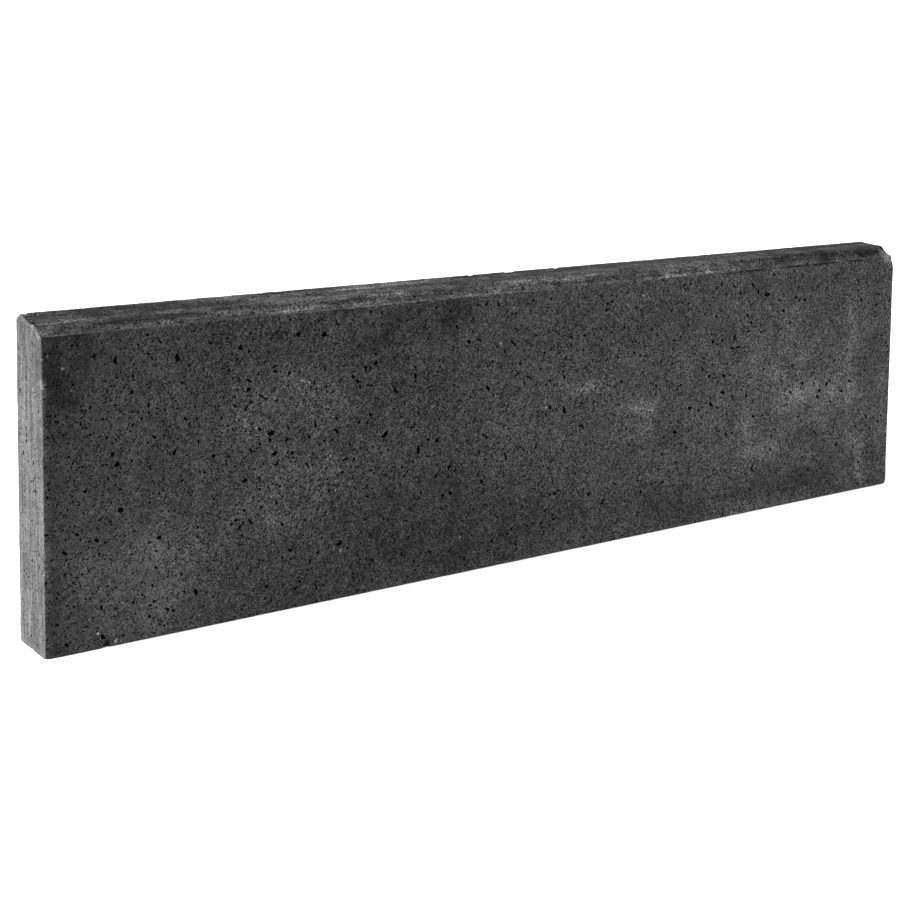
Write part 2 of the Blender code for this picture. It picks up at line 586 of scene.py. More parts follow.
def end_rows():
    """The rows of u that carry the skin round one end arris, from flat to upright."""
    return row(END_ARRIS * math.pi / 2 / ARC_STEPS, STRAIGHT, REACH)


def skin_points(dents):
    """The skin's points: rows along the arrises, shaken grids between, and dents."""
    rng = random.Random(SEED + 1)
    points = PointSet()
    seam_u = row(SEAM_STEP, -STRAIGHT, STRAIGHT)
    seam_u = [-u for u in end_rows()[:0:-1]] + seam_u + end_rows()[1:]
    for s in (0.0, outline.total):
        for u in seam_u:
            points.add((u, s))

    places = []
    end_s = {0.0, outline.total}
    end_u = STRAIGHT - ARRIS_STEP / 2
    for name, (begin, end) in outline.arcs.items():
        steps = SWEEP_STEPS if name == "top_front" else ARC_STEPS
        rows = [begin + (end - begin) * i / steps for i in range(steps + 1)]
        end_s.update(rows)
        if name != "top_front":
            for s in [begin - ARRIS_BAND] + rows + [end + ARRIS_BAND]:
                places += [(u, s) for u in row(ARRIS_STEP, -end_u, end_u, rng)]
    breaks = sorted(end_s)
    for low, high in zip(breaks, breaks[1:]):
        if high - low > WIDEST_ARRIS_STEP:
            end_s.update(row(ARRIS_STEP, low, high))
    end_s = sorted(end_s - {0.0, outline.total})
    for u in end_rows():
        places += [(side * u, s) for side in (-1, 1) for s in end_s]

    stretches = [
        (FRONT_S, FRONT_STEP), (TOP_S, TOP_STEP), (BACK_S, BACK_STEP),
        ((0.0, outline.arcs["bed_back"][0]), BACK_STEP),
        ((outline.arcs["bed_front"][1], outline.total), BACK_STEP),
    ]
    for (low, high), (along, across) in stretches:
        margin = max(GRID_MARGIN, across * GRID_MARGIN_SHARE)
        for s in row(across, low + margin, high - margin):
            for u in row(along, -STRAIGHT + margin, STRAIGHT - margin):
                slide = rng.uniform(-GRID_SHAKE, GRID_SHAKE)
                lift = rng.uniform(-GRID_SHAKE, GRID_SHAKE)
                places.append((u + slide * along, s + lift * across))
    points.add_clear(places, dents)
    return points


def triangulate(points):
    """Triangles over the points, as triples of their numbers."""
    places = [Vector(place) for place, *_ in points.points]
    result = delaunay_2d_cdt(places, points.edges, [], 0, CDT_EPSILON, True)
    made, faces, origins = result[0], result[2], result[3]
    number = [
        origin[0] if origin else points.add(tuple(place))
        for place, origin in zip(made, origins)]
    return [tuple(number[i] for i in face) for face in faces]


# ---------------------------------------------------------------- the skin in space

# Layers of unevenness, all over and on the top, whose ridges run with the length:
# depth, noise scale, offset and squeeze.
UNSQUEEZED = (1.0, 1.0, 1.0)
WAVES = [(0.10, 11.0, 0.0, UNSQUEEZED), (0.05, 70.0, 5.0, UNSQUEEZED)]
TOP_WAVES = [(1.1, 90.0, 3.0, (0.09, 1.0, 1.0)), (0.5, 150.0, 4.0, (0.45, 1.0, 1.0))]
# The top's own looks begin and end this far outside it, and blend in over this much.
TOP_OVERLAP_BACK, TOP_OVERLAP_FRONT, TOP_BLEND = 2.0, 1.0, 4.0
ARRIS_WEAR = 0.45
ARRIS_WEAR_SCALE = 110.0
ARRIS_WEAR_REACH = 1.6
FAR_FROM_ARRIS = 9.0

# The top sags, most at the left end and towards its back.
TOP_SAG = 5.0
TOP_SAG_RIGHT_SHARE = 0.28
SAG_CHANGE_SHARE = 0.75
SAG_SKEW = 0.7
# The front bevel runs out at the right end, where its lower arris rises.
BEVEL_RUN_OUT = 3.2
RUN_OUT_LENGTH = 16.0
RUN_OUT_ABOVE, RUN_OUT_BELOW = 24.0, 14.0

# Arrises are paler, partly from wear and partly as a painted highlight. The front one
# is darker in patches along its right part.
PALE_ARRIS_REACH = 1.3
DARK_ARRIS_FROM, DARK_ARRIS_BLEND, DARK_ARRIS_END_GAP = 620.0, 90.0, 14.0
DARK_ARRIS_REACH, DARK_ARRIS_STRENGTH = 2.4, 2.0
DARK_ARRIS_LEAST, DARK_ARRIS_SWING = 0.5, 1.2
PATCH_SCALE, PATCH_LEVEL, PATCH_SHARPNESS = 120.0, 0.38, 4.0

# How ragged worn corners and fresh patches are, and how sharply they end.
RAGGED_LEAST, RAGGED_SWING, RAGGED_SCALE = 0.75, 0.5, 130.0
CORNER_SHARPNESS, FRESH_SHARPNESS = 1.25, 2.0
CORNER_WEAR_DIRECTION = (1.0, 0.8, 0.8)


def smooth_step(x):
    x = np.clip(x, 0, 1)
    return x * x * (3 - 2 * x)


def noise_at(places, scale, offset=0.0, squeeze=UNSQUEEZED):
    """Noise from 0 to 1 at points given in millimetres. The scale is per metre, and the
    offset picks a stretch of the noise that nothing else uses."""
    shift = Vector((offset, offset * 0.7, -offset))
    factor = [scale * MM * q for q in squeeze]
    values = [
        noise.noise(Vector((p[0] * factor[0], p[1] * factor[1], p[2] * factor[2])) + shift)
        for p in places]
    return 0.5 + 0.5 * np.array(values)


def top_sag(places, s):
    """How far the top sags below its section, between its back edge and front arris."""
    across = np.clip((TOP_S[1] - s) / (TOP_S[1] - TOP_S[0]), 0, 1)
    rightward = smooth_step((places[:, 0] + LENGTH / 2) / (LENGTH * SAG_CHANGE_SHARE))
    amount = TOP_SAG * (1 + (TOP_SAG_RIGHT_SHARE - 1) * rightward)
    return amount * np.sin(math.pi * across ** SAG_SKEW)


def bevel_run_out(places, s):
    """How far the front arris rises where the bevel runs out at the right end."""
    along = smooth_step(1 - (LENGTH / 2 - places[:, 0]) / RUN_OUT_LENGTH)
    below = s - outline.middle("front_arris")
    across = np.where(below > 0, below / RUN_OUT_BELOW, -below / RUN_OUT_ABOVE)
    return BEVEL_RUN_OUT * along * smooth_step(1 - across)


def layered_noise(places, layers):
    return sum(depth * noise_at(places, *recipe) for depth, *recipe in layers)


def wear_and_wave(places, arris_gap, on_top):
    """How far the surface lies under the true shape."""
    near = smooth_step(1 - arris_gap / ARRIS_WEAR_REACH)
    ragged = noise_at(places, ARRIS_WEAR_SCALE, 9.0) ** 2
    sunk = layered_noise(places, WAVES) + near * ARRIS_WEAR * ragged
    return sunk + on_top * layered_noise(places, TOP_WAVES)


def corner_wear(places):
    """Each point's shift from the knocked corners, and how fresh its surface is."""
    shift = np.zeros((len(places), 3))
    fresh = np.zeros(len(places))
    centre = np.array([0.0, 0.0, HEIGHT / 2])
    ragged = RAGGED_LEAST + RAGGED_SWING * noise_at(places, RAGGED_SCALE, 6.0)
    for x, y, z, reach, depth in WORN_CORNERS:
        corner = np.array([x, y, z])
        inward = np.sign(centre - corner) * CORNER_WEAR_DIRECTION
        inward /= np.linalg.norm(inward)
        gap = np.linalg.norm(places - corner, axis=1) / (reach * ragged)
        shift += smooth_step(CORNER_SHARPNESS * (1 - gap))[:, None] * inward * depth
    for x, y, z, reach, paleness in FRESH_PATCHES:
        gap = np.linalg.norm(places - (x, y, z), axis=1) / (reach * ragged ** 2)
        fresh = np.maximum(fresh, paleness * smooth_step(FRESH_SHARPNESS * (1 - gap)))
    return shift, fresh


def arris_tone(places, s):
    """1 on a pale arris, worn and with a painted highlight, and below 0 where it is darkened."""
    on_front_arris = np.abs(s - outline.middle("front_arris")) < DARK_ARRIS_REACH
    darkened = smooth_step((places[:, 0] + LENGTH / 2 - DARK_ARRIS_FROM) / DARK_ARRIS_BLEND)
    darkened *= smooth_step((LENGTH / 2 - places[:, 0] - DARK_ARRIS_END_GAP) / DARK_ARRIS_END_GAP)
    patch = PATCH_SHARPNESS * (noise_at(places, PATCH_SCALE, 8.0) - PATCH_LEVEL)
    patchy = DARK_ARRIS_LEAST + DARK_ARRIS_SWING * smooth_step(patch)
    return 1 - DARK_ARRIS_STRENGTH * darkened * patchy * on_front_arris


def skin_in_space(points):
    """The skin's points in space, with the attributes that the material reads."""
    flat, depth, cavity, freshness, inwards = points.columns()
    u, s = flat[:, 0], flat[:, 1]
    section, section_normal = outline.at(np.clip(s, 0, outline.total))
    side = np.sign(u)
    past = np.clip((np.abs(u) - STRAIGHT) / END_ARRIS, 0, math.pi / 2)
    inset = END_ARRIS * (1 - np.cos(past))
    places = np.stack([
        np.where(past > 0, side * (STRAIGHT + END_ARRIS * np.sin(past)), u),
        section[:, 0] - section_normal[:, 0] * inset,
        section[:, 1] - section_normal[:, 1] * inset], 1)
    normals = np.stack([
        side * np.sin(past),
        section_normal[:, 0] * np.cos(past),
        section_normal[:, 1] * np.cos(past)], 1)

    arris_gap = REACH - END_ARRIS * math.pi / 4 - np.abs(u)
    for name in outline.arcs:
        if name != "top_front":
            begin, end = outline.arcs[name]
            gap = np.maximum(np.abs(s - (begin + end) / 2) - (end - begin) / 2, 0)
            arris_gap = np.minimum(arris_gap, gap)
    arris_gap = np.maximum(arris_gap, 0)
    on_top = smooth_step((s - TOP_S[0] + TOP_OVERLAP_BACK) / TOP_BLEND)
    on_top *= smooth_step((TOP_S[1] + TOP_OVERLAP_FRONT - s) / TOP_BLEND)
    inward = -normals
    for i, direction in enumerate(inwards):
        if direction is not None:
            inward[i] = direction
    shift, fresh = corner_wear(places)
    attributes = {
        "cavity": cavity,
        "fresh": np.clip(fresh + freshness, -1, 1),
        "on_top": on_top,
        "on_end": smooth_step(past / (math.pi / 2)),
        "arris": smooth_step(1 - arris_gap / PALE_ARRIS_REACH) * arris_tone(places, s),
    }
    sunk = wear_and_wave(places, arris_gap, on_top)
    places = places - normals * sunk[:, None] + inward * depth[:, None] + shift
    places[:, 1:] -= section_normal * top_sag(places, s)[:, None]
    places[:, 2] += bevel_run_out(places, s)
    return places, attributes


def is_inside(place, ring):
    """Whether a place lies inside a closed ring of places."""
    following = np.roll(ring, -1, axis=0)
    spans = (ring[:, 1] > place[1]) != (following[:, 1] > place[1])
    here, there = ring[spans], following[spans]
    crossing = here[:, 0] + (place[1] - here[:, 1]) * (
        (there[:, 0] - here[:, 0]) / (there[:, 1] - here[:, 1]))
    return np.count_nonzero(crossing > place[0]) % 2 == 1


def end_face(ring, side, seed):
    """One end face inside the ring of places that ends the skin there. Returns its own
    points, their attributes, and triangles that number the ring's points first."""
    points = PointSet()
    for place in ring:
        points.add(tuple(place))
    count = len(ring)
    points.edges = [(i, (i + 1) % count) for i in range(count)]
    rng = random.Random(seed + 7)
    low, high = ring.min(0) + END_GRID_MARGIN, ring.max(0) - END_GRID_MARGIN
    places = [
        (y + rng.uniform(-END_SHAKE, END_SHAKE), z + rng.uniform(-END_SHAKE, END_SHAKE))
        for y in row(END_STEP, low[0], high[0])
        for z in row(END_STEP, low[1], high[1])]
    roof = ring[ring[:, 1] > HEIGHT / 2]
    roof = roof[np.argsort(roof[:, 0])]
    places = [
        (y, z) for y, z in places
        if z < np.interp(y, roof[:, 0], roof[:, 1]) - END_GRID_MARGIN]
    points.add_clear(places, end_dents(seed))
    triangles = [
        t for t in triangulate(points)
        if max(t) >= count or is_inside(ring[list(t)].mean(0), ring)]

    flat, depth, cavity, _, _ = points.columns(count)
    space = np.stack([np.full(len(flat), side * LENGTH / 2), flat[:, 0], flat[:, 1]], 1)
    zero = np.zeros(len(flat))
    sunk = wear_and_wave(space, zero + FAR_FROM_ARRIS, zero)
    shift, fresh = corner_wear(space)
    attributes = {
        "cavity": cavity, "fresh": fresh, "on_top": zero, "on_end": zero + 1.0, "arris": zero}
    space = space - np.outer(sunk + depth, (side, 0.0, 0.0)) + shift
    return space, attributes, triangles


# ---------------------------------------------------------------- broad stains

# Soft lighter (+) and darker (-) patches on the front: x from the left end, z above
# the bed, half width, half height, lean in degrees, strength.
STAINS = [
    (14,220,26,34,0,-.8), (14,196,16,40,0,-.26), (4,110,8,150,0,-.26), (72,222,7,22,0,.2),
    (345,224,50,14,0,-.75), (240,218,190,24,0,-.23), (350,64,90,46,0,-.28), (420,26,190,20,0,-.22),
    (298,170,55,52,0,-.28), (735,22,130,17,0,-.36), (203,168,52,28,0,.26), (78,48,50,34,10,.38),
    (196,90,70,22,20,.2), (498,146,24,6,0,.75), (566,122,22,7,0,.75), (582,106,5,18,0,.32),
    (560,96,26,9,0,.26), (463,137,6,5,0,.45), (736,60,26,8,0,1.15), (705,88,10,18,0,.62),
    (780,109,27,11,8,1.05), (842,112,26,18,30,.34), (850,135,14,40,0,.22), (760,150,90,45,0,.2),
    (853,140,5,75,0,.4), (888,150,12,85,0,-.22), (873,26,5,20,6,1.15), (862,52,8,7,0,.5),
    (810,223,80,11,0,-.24), (610,190,60,30,0,-.1), (866,228,9,5,0,.5), (748,5,60,8,0,.42),
    (655,102,26,22,0,.16), (815,92,42,22,0,.16), (75,115,40,30,0,-.12), (852,162,34,30,0,.18),
    (435,92,40,26,0,.1), (400,190,45,24,0,-.1), (72,12,34,14,0,.15), (650,12,26,14,0,-.25),
    (702,5,14,8,0,.5), (885,222,24,20,0,-.3), (892,25,14,22,0,-.26), (296,50,34,22,0,-.2),
    (545,186,90,32,0,-.12), (656,172,18,16,0,.14), (796,90,22,20,0,.16), (206,74,32,22,0,.13),
]
# The front grows paler to the right, with painted shade in a thin band under its top arris.
RIGHTWARD_LIFT = 0.38
LIFT_BALANCE = 0.4
ARRIS_SHADE_TONE = -0.30
ARRIS_SHADE_REACH = 2.6
FRONT_DEPTH = 3.0
# Dark patches over each other darken the front and the top by no more than this.
DARKEST, DARKEST_TOP = 0.5, 0.7

# The same on the top: x, y back from the front, half length, half width, strength.
TOP_STAINS = [
    (110,25,70,30,-.27), (178,22,14,12,-.45), (110,44,60,7,.3), (300,46,90,5,.4), (450,2.5,240,3.0,.8),
    (400,34,60,4,.6), (445,20,50,4,-.6), (500,11,60,3,.55), (470,42,50,3,-.5), (690,2.5,60,2.5,.35),
    (172,38,12,6,.5), (212,30,16,10,.45), (290,38,22,9,.6), (310,20,55,30,.28), (350,40,40,8,.4),
    (382,22,12,5,-.7), (528,34,40,7,-.35), (570,14,40,7,-.25), (605,14,7,9,.55), (652,12,12,12,.45),
    (610,24,60,24,.2), (690,24,30,24,.15), (796,36,30,12,-.34), (838,25,98,30,-.9), (895,32,22,6,-.3),
]
TOP_BASE = -0.20
# A stain's outer edge and its blend, as shares of its size, and how ragged it is, from
# layers of noise with a weight, a scale and an offset.
STAIN_EDGE, STAIN_BLEND = 1.45, 1.1
RAGGED_LAYERS = [(1.0, 26.0, 2.0), (0.6, 80.0, 7.0)]
FRONT_RAGGEDNESS, TOP_RAGGEDNESS = 0.9, 1.4


def stain_field(across, up, stains, ragged):
    """The sum of soft, ragged-edged oval patches at places given by two coordinates."""
    field = np.zeros(len(across))
    for middle_x, middle_y, half_width, half_height, lean, strength in stains:
        turn = math.radians(lean)
        dx, dy = across - middle_x, up - middle_y
        along = (dx * math.cos(turn) + dy * math.sin(turn)) / half_width
        beside = (dy * math.cos(turn) - dx * math.sin(turn)) / half_height
        gap = np.hypot(along, beside) + ragged
        field += strength * smooth_step((STAIN_EDGE - gap) / STAIN_BLEND)
    return field


def softly_floored(tone, depth):
    """The tone, with its darks eased so that they stay above minus the depth."""
    return np.where(tone < 0, -depth * (1 - np.exp(tone / depth)), tone)


def tone_of(places, on_top):
    """How much lighter or darker than the plain concrete each point is."""
    x = places[:, 0] + LENGTH / 2
    y = places[:, 1] - front
    z = places[:, 2]
    ragged = sum(
        weight * (noise_at(places, *recipe) - 0.5) for weight, *recipe in RAGGED_LAYERS)
    tone = RIGHTWARD_LIFT * (smooth_step(x / LENGTH) - LIFT_BALANCE)
    tone += stain_field(x, z, STAINS, ragged * FRONT_RAGGEDNESS)
    tone = softly_floored(tone, DARKEST)
    # Painted shade in a thin band just under the front arris.
    below_arris = (HEIGHT - FRONT_BEVEL[1]) - z
    tone += ARRIS_SHADE_TONE * smooth_step(1 - below_arris / ARRIS_SHADE_REACH)
    only_front = smooth_step((FRONT_DEPTH - y) / FRONT_DEPTH) * (1 - on_top)
    top_stains = [(*patch, 0, strength) for *patch, strength in TOP_STAINS]
    top_tone = TOP_BASE + stain_field(x, y, top_stains, ragged * TOP_RAGGEDNESS)
    return tone * only_front + on_top * softly_floored(top_tone, DARKEST_TOP)


# ---------------------------------------------------------------- the mesh

SHARP_ANGLE = math.radians(38)
END_SEED = 20


def slab_piece():
    """The whole casting as one closed mesh."""
    dents = skin_dents()
    points = skin_points(dents)
    triangles = triangulate(points)
    places, attributes = skin_in_space(points)
    flat = points.columns()[0]

    # The skin closes along the middle of the bed, where its first and last rows meet.
    seam = {round(u, 6): i for i, (u, s) in enumerate(flat) if s == 0.0}
    same = [
        seam[round(u, 6)] if s == outline.total else i for i, (u, s) in enumerate(flat)]
    faces = [tuple(same[i] for i in t) for t in triangles]

    everything = [places]
    gathered = {name: [values] for name, values in attributes.items()}
    total = len(places)
    for side in (-1, 1):
        ring = [i for i in np.flatnonzero(flat[:, 0] * side > REACH - TINY) if same[i] == i]
        ring.sort(key=lambda i: flat[i, 1])
        space, own, caps = end_face(places[ring, 1:], side, SEED + END_SEED + side)
        number = ring + list(range(total, total + len(space)))
        for a, b, c in caps:
            corners = (number[a], number[b], number[c])
            faces.append(corners if side > 0 else corners[::-1])
        everything.append(space)
        for name, values in own.items():
            gathered[name].append(values)
        total += len(space)

    places = np.vstack(everything)
    mesh = bpy.data.meshes.new(PIECE)
    mesh.from_pydata((places * MM).tolist(), [], faces)
    for name, values in gathered.items():
        layer = mesh.attributes.new(name, "FLOAT", "POINT")
        layer.data.foreach_set("value", np.concatenate(values).astype(np.float32))
    layer = mesh.attributes.new("tone", "FLOAT", "POINT")
    tone = tone_of(places, np.concatenate(gathered["on_top"]))
    layer.data.foreach_set("value", tone.astype(np.float32))
    mesh.update()
    return tidy_mesh(mesh)


def tidy_mesh(mesh):
    """Drop unused points, face every triangle outward, and mark the crisp edges."""
    work = bmesh.new()
    work.from_mesh(mesh)
    loose = [v for v in work.verts if not v.link_faces]
    bmesh.ops.delete(work, geom=loose, context="VERTS")
    bmesh.ops.recalc_face_normals(work, faces=work.faces)
    for face in work.faces:
        face.smooth = True
    for edge in work.edges:
        edge.smooth = edge.calc_face_angle() < SHARP_ANGLE
    work.to_mesh(mesh)
    work.free()
    piece = bpy.data.objects.new(PIECE, mesh)
    bpy.context.scene.collection.objects.link(piece)
    return piece


# ---------------------------------------------------------------- concrete material

CONCRETE = 0.0365
CONCRETE_TINT = (1.0, 1.0, 1.012)
DARKEST_VALUE = 0.05

# Layers of tone, clouds from hand size to finger size and sand in mottling and grain:
# noise scale per metre, detail, roughness, and how much it swings the tone.
CLOUDS = [(7.0, 3.0, 0.55, 0.42), (32.0, 3.0, 0.6, 0.46), (120.0, 2.0, 0.6, 0.32)]
SAND = [(470.0, 2.0, 0.75, 0.14), (1100.0, 1.0, 0.7, 1.85)]
GRAINS_PER_M, GRAIN_SWING = 700.0, 0.5
PALE_GRAINS = (0.990, 0.996)
# How much of the sand shows from the left end rightward, on the ends and on the top.
SAND_BLEND_M, SAND_SHARES = (-0.45, -0.25), (0.72, 1.08)
SAND_ON_ENDS, SAND_ON_TOP = -0.35, 0.1

# Noise with its own scale along x, y and z, and how it is ramped to tone: detail and
# roughness come first. The top has streaks, smears and crumbs of cement drawn out along
# the length, and the ends have faint upright drag lines from the mould's end plates.
TOP_LAYERS = [
    ((4.0, 0.65, 12.0, 150.0, 150.0), (0.32, 0.70, 0.42, 1.50)),
    ((2.0, 0.5, 5.0, 48.0, 48.0), (0.35, 0.65, 0.65, 1.30)),
    ((3.0, 0.6, 60.0, 130.0, 130.0), (0.35, 0.65, 0.62, 1.42)),
]
DRAG_LINES = ((3.0, 0.6, 150.0, 280.0, 20.0), (0.32, 0.68, 0.68, 1.34))
# Plain noise, as scale, detail and roughness, and how it is ramped.
FLECK_PATCHES = ((8.0, 2.0), (0.45, 0.6, 0.0, 0.6))
STAIN_BREAKUP = ((46.0, 3.0, 0.6), (0.3, 0.7, 0.7, 1.7))
ROUGHNESS = ((180.0, 2.0, 0.6), (0.3, 0.7, 0.8, 0.95))

# Dots: cells per metre, the empty share of them, and the smallest and largest radius as
# shares of a cell. TEAR is the scale and the reach of what pushes them out of round.
PINHOLES = [(150.0, 0.18, 0.11, 0.20), (310.0, 0.5, 0.19, 0.31), (600.0, 0.7, 0.29, 0.46)]
FLECKS = (130.0, 0.3, 0.12, 0.34)
TEAR = (520.0, 0.0008)
DOT_EDGE = 0.05
# Pinholes are painted dark as the shade inside them.
PINHOLE_DARKNESS, PINHOLES_ON_ENDS = 0.94, -0.4

# Arrises are paler, partly as wear and partly as a painted highlight.
ARRIS_PALENESS, FRESH_PALENESS = 0.42, 4.2
# Painted shade: hollow chips and the floors of pores and chips are darkened to these tones.
HOLLOW_TONE, CAVITY_TONE, DARK_CAVITY = 0.3, 0.06, 0.6
GLOSS = 0.1
# The fine relief: its noise with weights, and the weights of what else is in it.
RELIEF_NOISE = [((520.0, 3.0, 0.65), 0.9), ((150.0, 2.0, 0.55), 0.7)]
GRAIN_RELIEF, PINHOLE_RELIEF, STREAK_RELIEF = -0.4, -1.4, 2.2
BUMP_STRENGTH, BUMP_DISTANCE_M = 0.8, 0.0007


class Graph:
    """A short way to write a material's nodes as formulas."""

    def __init__(self, material):
        self.tree = material.node_tree
        self.coordinates = self.node("ShaderNodeTexCoord").outputs["Object"]

    def node(self, kind, inputs=(), **settings):
        """A new node, with its inputs' values or links given by name or number."""
        made = self.tree.nodes.new(kind)
        for name, value in settings.items():
            setattr(made, name, value)
        for key, value in dict(inputs).items():
            self.put(made.inputs[key], value)
        return made

    def put(self, socket, value):
        if isinstance(value, bpy.types.NodeSocket):
            self.tree.links.new(value, socket)
        else:
            socket.default_value = value

    def math(self, operation, *values, kind="ShaderNodeMath"):
        return self.node(kind, enumerate(values), operation=operation).outputs[0]

    def fold(self, operation, values):
        total, *rest = values
        for value in rest:
            total = self.math(operation, total, value)
        return total

    def add(self, *values):
        return self.fold("ADD", values)

    def times(self, *values):
        return self.fold("MULTIPLY", values)

    def less(self, value, taken):
        return self.math("SUBTRACT", value, taken)

    def noise(self, scale, detail=2.0, rough=0.5, vector=None, output="Fac"):
        return self.node("ShaderNodeTexNoise", {
            "Scale": scale, "Detail": detail, "Roughness": rough,
            "Vector": vector or self.coordinates}).outputs[output]

    def drawn(self, detail, rough, *scale):
        """Noise with its own scale along each of x, y and z."""
        inputs = {"Vector": self.coordinates, "Scale": scale}
        stretched = self.node("ShaderNodeMapping", inputs, vector_type="POINT")
        return self.noise(1.0, detail, rough, stretched.outputs["Vector"])

    def cells(self, scale, vector=None):
        inputs = {"Scale": scale, "Vector": vector or self.coordinates}
        return self.node("ShaderNodeTexVoronoi", inputs, feature="F1").outputs

    def numbers(self, cells):
        """Random numbers from 0 to 1, the same all over each cell."""
        return self.node("ShaderNodeSeparateColor", {0: cells["Color"]}).outputs

    def warped(self, scale, reach):
        """Coordinates pushed about by noise, which turns round dots into torn ones."""
        kind = "ShaderNodeVectorMath"
        push = self.noise(scale, 1.0, output="Color")
        centred = self.math("SUBTRACT", push, (0.5, 0.5, 0.5), kind=kind)
        return self.math(
            "MULTIPLY_ADD", centred, (reach, reach, reach), self.coordinates, kind=kind)

    def dots(self, scale, empty, smallest, largest, vector):
        """Crisp dots, one in each cell but for the empty share. Their radii are shares
        of the cell."""
        cells = self.cells(scale, vector)
        number = self.numbers(cells)
        radius = self.ramp(number[0], 0.0, 1.0, smallest, largest, smooth=False)
        present = self.math("GREATER_THAN", number[1], empty)
        return self.times(
            present, self.ramp(self.less(radius, cells["Distance"]), 0.0, DOT_EDGE))

    def ramp(self, value, low, high, out_low=0.0, out_high=1.0, smooth=True):
        inputs = {
            "Value": value, "From Min": low, "From Max": high,
            "To Min": out_low, "To Max": out_high}
        kind = "SMOOTHSTEP" if smooth else "LINEAR"
        return self.node("ShaderNodeMapRange", inputs, interpolation_type=kind).outputs["Result"]

    def ramped_noise(self, recipe, ramp):
        return self.ramp(self.noise(*recipe), *ramp)

    def swing(self, value, amount):
        """1 plus a value from 0 to 1 that swings the result by the amount each way."""
        return self.math("MULTIPLY_ADD", self.less(value, 0.5), 2 * amount, 1.0)

    def layers(self, recipes):
        return self.times(*(self.swing(self.noise(*recipe), swing) for *recipe, swing in recipes))

    def where(self, mask, value):
        """The value where the mask is 1, and 1 where it is 0."""
        return self.add(1.0, self.times(mask, self.less(value, 1.0)))


def concrete():
    material = bpy.data.materials.new("anthracite_concrete")
    material.use_nodes = True
    g = Graph(material)
    shader = material.node_tree.nodes["Principled BSDF"]
    cavity, fresh, on_top, on_end, arris, tone = (
        g.node("ShaderNodeAttribute", attribute_name=name).outputs["Fac"]
        for name in ("cavity", "fresh", "on_top", "on_end", "arris", "tone"))

    grain_cells = g.cells(GRAINS_PER_M)
    grain_numbers = g.numbers(grain_cells)
    grains = g.swing(grain_numbers[0], GRAIN_SWING)
    pale = g.ramp(grain_numbers[1], *PALE_GRAINS)
    along = g.node("ShaderNodeSeparateXYZ", {0: g.coordinates}).outputs["X"]
    sand_share = g.add(
        g.ramp(along, *SAND_BLEND_M, *SAND_SHARES),
        g.times(on_end, SAND_ON_ENDS), g.times(on_top, SAND_ON_TOP))
    sand = g.math("MULTIPLY_ADD", g.less(g.times(g.layers(SAND), grains), 1.0), sand_share, 1.0)

    # Pinholes in all sizes, painted dark as the shade inside them, and on the top flecks of pale grit
    # in its crust.
    torn = g.warped(*TEAR)
    pinholes = g.fold("MAXIMUM", [g.dots(*kind, torn) for kind in PINHOLES])
    pinholes = g.times(pinholes, g.add(1.0, g.times(on_end, PINHOLES_ON_ENDS)))
    patches = g.ramped_noise(*FLECK_PATCHES)
    flecks = g.times(on_top, g.dots(*FLECKS, torn), patches)

    drawn = [g.drawn(*recipe) for recipe, _ in TOP_LAYERS]
    top_tone = g.times(*(g.ramp(noise, *ramp) for noise, (_, ramp) in zip(drawn, TOP_LAYERS)))
    recipe, ramp = DRAG_LINES
    end_tone = g.ramp(g.drawn(*recipe), *ramp)
    value = g.times(
        g.layers(CLOUDS), sand, g.where(on_top, top_tone), g.where(on_end, end_tone))
    breakup = g.ramped_noise(*STAIN_BREAKUP)
    value = g.times(value, g.add(1.0, g.times(tone, breakup)))
    value = g.add(value, pale, flecks)
    # Pale arrises are partly wear and partly a painted highlight.
    value = g.times(
        value, g.add(1.0, g.times(arris, ARRIS_PALENESS)),
        # Hollow chips are darkened as painted shade.
        g.ramp(fresh, -1.0, 0.0, HOLLOW_TONE, 1.0),
        # Pinholes are painted dark as painted shade.
        g.less(1.0, g.times(pinholes, PINHOLE_DARKNESS)))
    value = g.add(value, g.times(g.ramp(fresh, 0.0, 1.0, 0.0, FRESH_PALENESS), grains))
    # Painted shade on the floors of pores and chips.
    value = g.times(value, g.ramp(cavity, 0.0, DARK_CAVITY, 1.0, CAVITY_TONE))
    value = g.math("MAXIMUM", value, DARKEST_VALUE)
    colour = g.node("ShaderNodeCombineColor", {
        i: g.times(value, CONCRETE * tint) for i, tint in enumerate(CONCRETE_TINT)})
    g.put(shader.inputs["Base Color"], colour.outputs[0])

    g.put(shader.inputs["Roughness"], g.ramped_noise(*ROUGHNESS))
    gloss = g.times(g.ramp(cavity, 0.0, DARK_CAVITY, GLOSS, 0.0), g.less(1.0, pinholes))
    g.put(shader.inputs["Specular IOR Level"], gloss)
    shader.inputs["Metallic"].default_value = 0.0

    relief = g.add(
        *(g.times(g.noise(*recipe), weight) for recipe, weight in RELIEF_NOISE),
        g.times(grain_cells["Distance"], GRAIN_RELIEF),
        g.times(pinholes, PINHOLE_RELIEF),
        g.times(on_top, drawn[0], STREAK_RELIEF))
    bump = g.node("ShaderNodeBump", {
        "Strength": BUMP_STRENGTH, "Distance": BUMP_DISTANCE_M, "Height": relief})
    g.put(shader.inputs["Normal"], bump.outputs["Normal"])
    return material


# ---------------------------------------------------------------- studio

FLOOR_SIZE_M = 40.0
FLOOR_COLOUR = (0.8, 0.8, 0.8, 1.0)
# The room's colour as the camera sees it, and as it lights the slab.
ROOM_SEEN = (1.0, 1.0, 1.0, 1.0)
ROOM_LIGHT = (0.4, 0.4, 0.4, 1.0)

# Each lamp: the bearing of its light in degrees, from straight in front towards the
# left end, its height in degrees, its strength, and how many degrees wide it looks.
LAMPS = {
    "key_light": (94, 8, 17.0, 12),
    "overhead_light": (38, 58, 3.6, 25),
    "rim_light": (-125, 35, 1.4, 25),
}


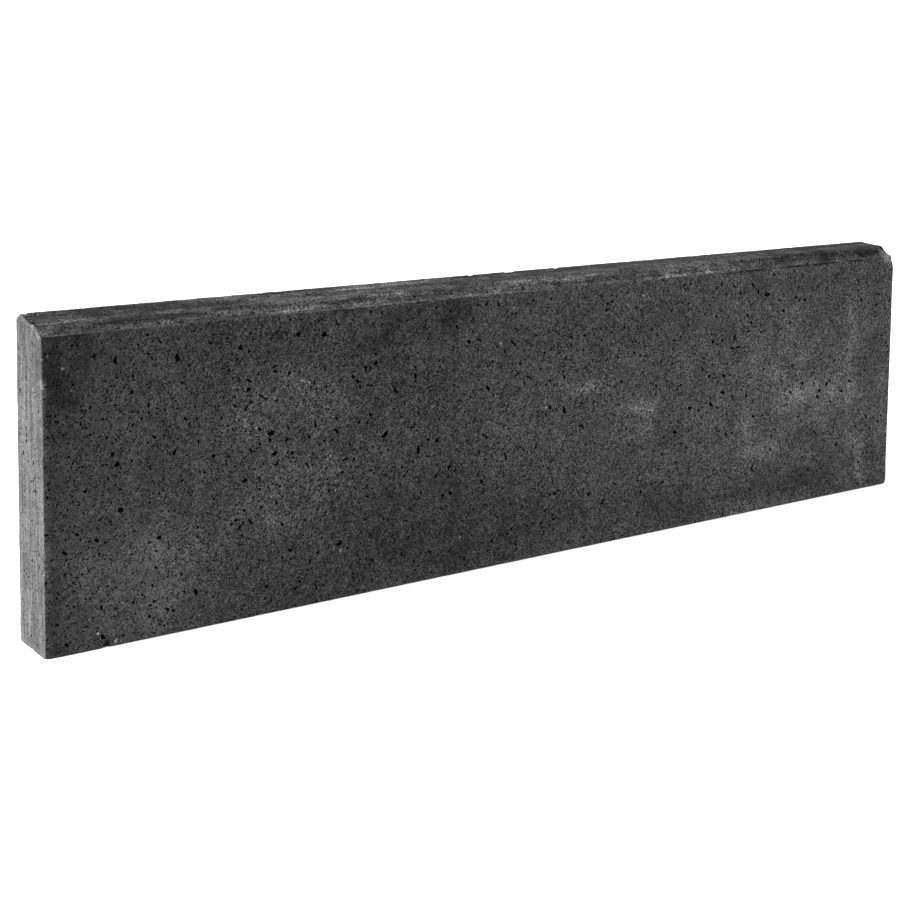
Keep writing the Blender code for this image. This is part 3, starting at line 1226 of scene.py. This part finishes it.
def studio():
    """A pale floor in a white room, with a low key light beyond the left end."""
    bpy.ops.mesh.primitive_plane_add(size=FLOOR_SIZE_M)
    floor = bpy.context.object
    floor.name = "studio_floor"
    floor.location.z = low_corner.z
    paint = bpy.data.materials.new("floor_paint")
    paint.use_nodes = True
    shader = paint.node_tree.nodes["Principled BSDF"]
    shader.inputs["Base Color"].default_value = FLOOR_COLOUR
    shader.inputs["Roughness"].default_value = 0.9
    shader.inputs["Specular IOR Level"].default_value = 0.1
    floor.data.materials.append(paint)

    world = bpy.data.worlds.new("white_room")
    bpy.context.scene.world = world
    world.use_nodes = True
    tree = world.node_tree
    seen = tree.nodes.new("ShaderNodeLightPath").outputs["Is Camera Ray"]
    mix = tree.nodes.new("ShaderNodeMix")
    mix.data_type = "RGBA"
    tree.links.new(seen, mix.inputs["Factor"])
    mix.inputs["A"].default_value = ROOM_LIGHT
    mix.inputs["B"].default_value = ROOM_SEEN
    tree.links.new(mix.outputs["Result"], tree.nodes["Background"].inputs["Color"])

    for name, (bearing, rise, strength, width) in LAMPS.items():
        lamp = bpy.data.lights.new(name, "SUN")
        lamp.energy = strength
        lamp.angle = math.radians(width)
        sun = bpy.data.objects.new(name, lamp)
        bpy.context.scene.collection.objects.link(sun)
        turn, lift = math.radians(bearing), math.radians(rise)
        source = Vector((-math.sin(turn) * math.cos(lift), -math.cos(turn) * math.cos(lift),
                         math.sin(lift)))
        sun.rotation_euler = source.to_track_quat("Z", "Y").to_euler()
    bpy.context.scene.view_settings.view_transform = "Standard"


# The camera's place from the left end's lower front corner, and how it is turned.
CAMERA_LENS = 66.74
CAMERA_SHIFT = -0.267
CAMERA_STAND_M = Vector((-0.4397, -1.1285, 0.4492))
CAMERA_SWING = math.radians(35.18)
CAMERA_TILT = math.radians(5.63)
CAMERA_ROLL = math.radians(0.66)


def camera():
    """The viewpoint, with a lens shift that keeps the uprights nearly parallel."""
    data = bpy.data.cameras.new("view")
    data.lens = CAMERA_LENS
    data.sensor_width = 36.0
    data.shift_y = CAMERA_SHIFT
    eye = bpy.data.objects.new("view", data)
    eye.location = low_corner + CAMERA_STAND_M
    aim = Euler((math.radians(90) - CAMERA_TILT, 0.0, -CAMERA_SWING)).to_matrix()
    eye.rotation_euler = (aim @ Matrix.Rotation(CAMERA_ROLL, 3, "Z")).to_euler()
    bpy.context.scene.collection.objects.link(eye)
    bpy.context.scene.camera = eye


studio()
camera()
slab = slab_piece()
slab.data.materials.append(concrete())
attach(slab, BODY)
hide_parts(NODE)
